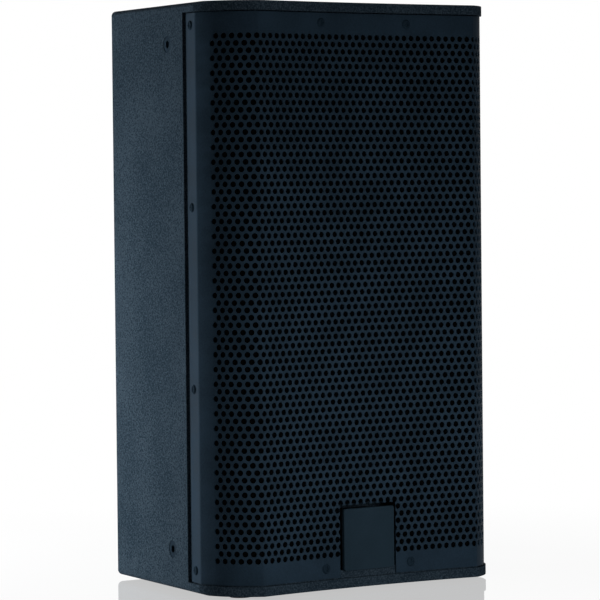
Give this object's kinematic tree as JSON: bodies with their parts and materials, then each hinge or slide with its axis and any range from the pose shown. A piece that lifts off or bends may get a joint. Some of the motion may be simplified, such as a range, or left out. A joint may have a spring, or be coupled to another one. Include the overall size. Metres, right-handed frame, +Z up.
{
  "type": "pa speaker cabinet",
  "caption": "Compact passive PA loudspeaker cabinet with tapered sides, a wrap-round perforated steel grille, woofer, horn, pole socket, rear input dish and grab handle.",
  "frame": {"origin": "on the floor under the middle of the cabinet's width and depth", "axes": "+Z up, +Y towards the back panel, +X to the right of someone who looks at the grille"},
  "size_m": [0.288, 0.219, 0.491],
  "materials": {
    "painted_plywood": "textured water-based paint, low sheen",
    "bare_plywood": "bare birch plywood",
    "grille_steel": "satin powder coat on perforated steel",
    "acoustic_foam": "open-cell foam",
    "black_screws": "black zinc",
    "badge_plastic": "moulded plastic",
    "basket_alloy": "black painted casting",
    "gasket_board": "pressed fibre",
    "treated_cloth": "coated cloth",
    "paper_pulp": "pressed paper pulp",
    "spider_cloth": "resin-dipped cotton",
    "copper_coil": "enamelled copper",
    "plated_steel": "zinc plated",
    "ferrite": "sintered ferrite",
    "black_plastic": "moulded ABS",
    "diaphragm_metal": "thin foil",
    "circuit_board": "glass-fibre laminate",
    "film_capacitor": "wrapped film",
    "cement": "ceramic cement",
    "connector_plastic": "glass-filled nylon",
    "foot_rubber": "moulded rubber",
    "wadding": "polyester wadding",
    "lead_jacket": "PVC twin cable"
  },
  "bodies": {
    "cabinet": {"back_panel": "painted_plywood", "badge_plate": "badge_plastic", "badge_post": "black_plastic", "barrier_screws": "plated_steel", "barrier_strip": "black_plastic", "base_screws": "black_screws", "bottom_board": "painted_plywood", "crossover_board": "circuit_board", "crossover_capacitors": "film_capacitor", "crossover_coils": "copper_coil", "crossover_resistors": "cement", "crossover_standoffs": "plated_steel", "driver_bolts": "black_screws", "driver_lead": "lead_jacket", "driver_magnet": "ferrite", "driver_pole": "plated_steel", "driver_rear_cap": "black_plastic", "driver_top_plate": "plated_steel", "feet": "foot_rubber", "front_baffle": "painted_plywood", "grille": "grille_steel", "grille_cleat_bottom": "bare_plywood", "grille_cleat_top": "bare_plywood", "grille_flange_screws": "black_screws", "grille_foam": "acoustic_foam", "grille_front_screws": "black_screws", "horn": "black_plastic", "horn_screws": "black_screws", "input_dish": "black_plastic", "input_lead": "lead_jacket", "left_side_panel": "painted_plywood", "lining": "wadding", "pole_socket": "black_plastic", "port_tube_left": "black_plastic", "port_tube_right": "black_plastic", "rear_handle": "black_plastic", "rear_panel_screws": "black_screws", "rear_suspension_insert": "plated_steel", "right_side_panel": "painted_plywood", "shelf_brace": "bare_plywood", "suspension_inserts": "plated_steel", "suspension_plugs": "black_screws", "top_board": "painted_plywood", "twist_lock_socket_left": "connector_plastic", "twist_lock_socket_right": "connector_plastic", "woofer_basket": "basket_alloy", "woofer_gasket": "gasket_board", "woofer_lead": "lead_jacket", "woofer_magnet": "ferrite", "woofer_screws": "black_screws", "woofer_spider": "spider_cloth", "woofer_surround": "treated_cloth", "woofer_tag_strip": "circuit_board", "woofer_top_plate": "plated_steel", "woofer_yoke": "plated_steel"},
    "woofer_cone_assembly": {"woofer_cone": "paper_pulp", "woofer_dust_cap": "paper_pulp", "woofer_voice_coil": "copper_coil"},
    "hf_diaphragm": {"driver_diaphragm": "diaphragm_metal"}
  },
  "joints": [
    {"name": "woofer_stroke", "type": "slide", "parent": "cabinet", "child": "woofer_cone_assembly", "axis": [0, -1, 0], "range_m": [-0.006, 0.006], "stiffness_N_per_m": 3500, "deforming": ["woofer_surround", "woofer_spider"]},
    {"name": "diaphragm_stroke", "type": "slide", "parent": "cabinet", "child": "hf_diaphragm", "axis": [0, -1, 0], "range_m": [-0.0003, 0.0003], "stiffness_N_per_m": 6000}
  ]
}
